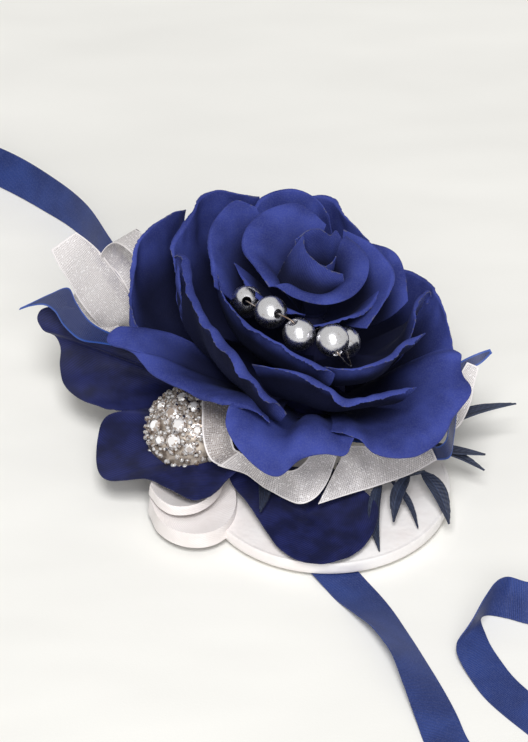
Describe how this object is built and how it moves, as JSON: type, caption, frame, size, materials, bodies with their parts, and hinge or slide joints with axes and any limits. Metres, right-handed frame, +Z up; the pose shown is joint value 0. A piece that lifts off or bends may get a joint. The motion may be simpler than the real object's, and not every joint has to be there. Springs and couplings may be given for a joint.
{
  "type": "wrist corsage",
  "caption": "Wrist corsage: a large blue cloth rose with silver beads and satin leaves on a round white base, with organza loops and a flat ribbon tie.",
  "frame": {"origin": "middle of the underside of the round base, the face that lies on the wrist", "axes": "+Z up out of the base through the rose, -Y towards the tail end of the ribbon that is nearest in the picture, +X to the right in the picture"},
  "size_m": [0.1966, 0.2584, 0.0653],
  "materials": {
    "petal_cloth": "matt royal blue woven cloth with cut, slightly frayed edges",
    "leaf_satin": "navy satin with a fine diagonal weave",
    "tie_ribbon": "mid blue satin ribbon with woven edges",
    "blue_sheer": "bright blue sheer ribbon",
    "organza": "off-white sheer organza with bright edges and a little sparkle",
    "white_satin": "off-white satin with a soft gloss",
    "sprig_leaf": "stiffened dark blue-grey leaf cloth",
    "card": "stiff pressed card",
    "felt": "off-white felt",
    "glue": "milky hot-melt glue",
    "core": "dark blue moulded stem",
    "silver_bead": "bright silver plated, lightly scuffed",
    "wire": "plain bright wire",
    "clear_stone": "clear faceted rhinestones in a pale setting"
  },
  "bodies": {
    "corsage": {"backing_felt": "felt", "base_card": "card", "base_satin_cover": "white_satin", "base_rim_band": "white_satin", "satin_loop_outer": "white_satin", "satin_loop_inner": "white_satin", "glue_mound": "glue", "rose_hub": "core", "bud_core": "petal_cloth", "bud_petal_left": "petal_cloth", "bud_petal_back": "petal_cloth", "bud_petal_front": "petal_cloth", "whorl_petal_back_left": "petal_cloth", "whorl_petal_right": "petal_cloth", "whorl_petal_front_left": "petal_cloth", "whorl_petal_front": "petal_cloth", "inner_petal_left": "petal_cloth", "inner_petal_back": "petal_cloth", "inner_petal_back_right": "petal_cloth", "inner_petal_front_left": "petal_cloth", "inner_petal_front_right": "petal_cloth", "mid_petal_back_left": "petal_cloth", "mid_petal_back": "petal_cloth", "mid_petal_right": "petal_cloth", "mid_petal_left": "petal_cloth", "mid_petal_front": "petal_cloth", "outer_petal_left": "petal_cloth", "outer_petal_back": "petal_cloth", "outer_petal_right": "petal_cloth", "low_petal_right": "petal_cloth", "low_petal_left": "petal_cloth", "low_petal_front": "petal_cloth", "bead_wire": "wire", "diamante_setting": "clear_stone", "satin_leaf_left": "leaf_satin", "satin_leaf_lower_left": "leaf_satin", "satin_leaf_front": "leaf_satin", "leaf_sprig_right": "sprig_leaf", "leaf_sprig_front": "sprig_leaf", "leaf_sprig_left": "sprig_leaf", "organza_tail_left": "organza", "organza_loop_left": "organza", "organza_loop_small": "organza", "organza_strip": "organza", "organza_loop_front": "organza", "organza_tail_front": "organza", "organza_tail_right": "organza", "blue_loop_left": "blue_sheer", "blue_loop_right": "blue_sheer", "blue_tail_right": "blue_sheer", "tie_ribbon_under": "tie_ribbon", "tie_ribbon_left": "tie_ribbon", "tie_ribbon_left_coil": "tie_ribbon", "tie_ribbon_right": "tie_ribbon", "tie_ribbon_right_curl": "tie_ribbon"},
    "bead_1_ball": {"bead_1": "silver_bead"},
    "bead_2_ball": {"bead_2": "silver_bead"},
    "bead_3_ball": {"bead_3": "silver_bead"},
    "bead_4_ball": {"bead_4": "silver_bead"},
    "bead_5_ball": {"bead_5": "silver_bead"}
  },
  "joints": [
    {"name": "bead_1_spin", "type": "hinge", "parent": "corsage", "child": "bead_1_ball", "pos_m": [-0.0197, 0.0155, 0.04928], "axis": [0, -0.7867, 0.6174], "continuous": true},
    {"name": "bead_2_spin", "type": "hinge", "parent": "corsage", "child": "bead_2_ball", "pos_m": [-0.01387, 0.00617, 0.05312], "axis": [0.4584, -0.7673, 0.4484], "continuous": true},
    {"name": "bead_3_spin", "type": "hinge", "parent": "corsage", "child": "bead_3_ball", "pos_m": [-0.00709, -0.00007, 0.0512], "axis": [-0.3697, 0, 0.9292], "continuous": true},
    {"name": "bead_4_spin", "type": "hinge", "parent": "corsage", "child": "bead_4_ball", "pos_m": [0.00091, -0.00288, 0.05152], "axis": [0.2994, -0.9182, -0.2595], "continuous": true},
    {"name": "bead_5_spin", "type": "hinge", "parent": "corsage", "child": "bead_5_ball", "pos_m": [0.00389, 0.00367, 0.04576], "axis": [0.25, -0.6, -0.76], "continuous": true}
  ]
}
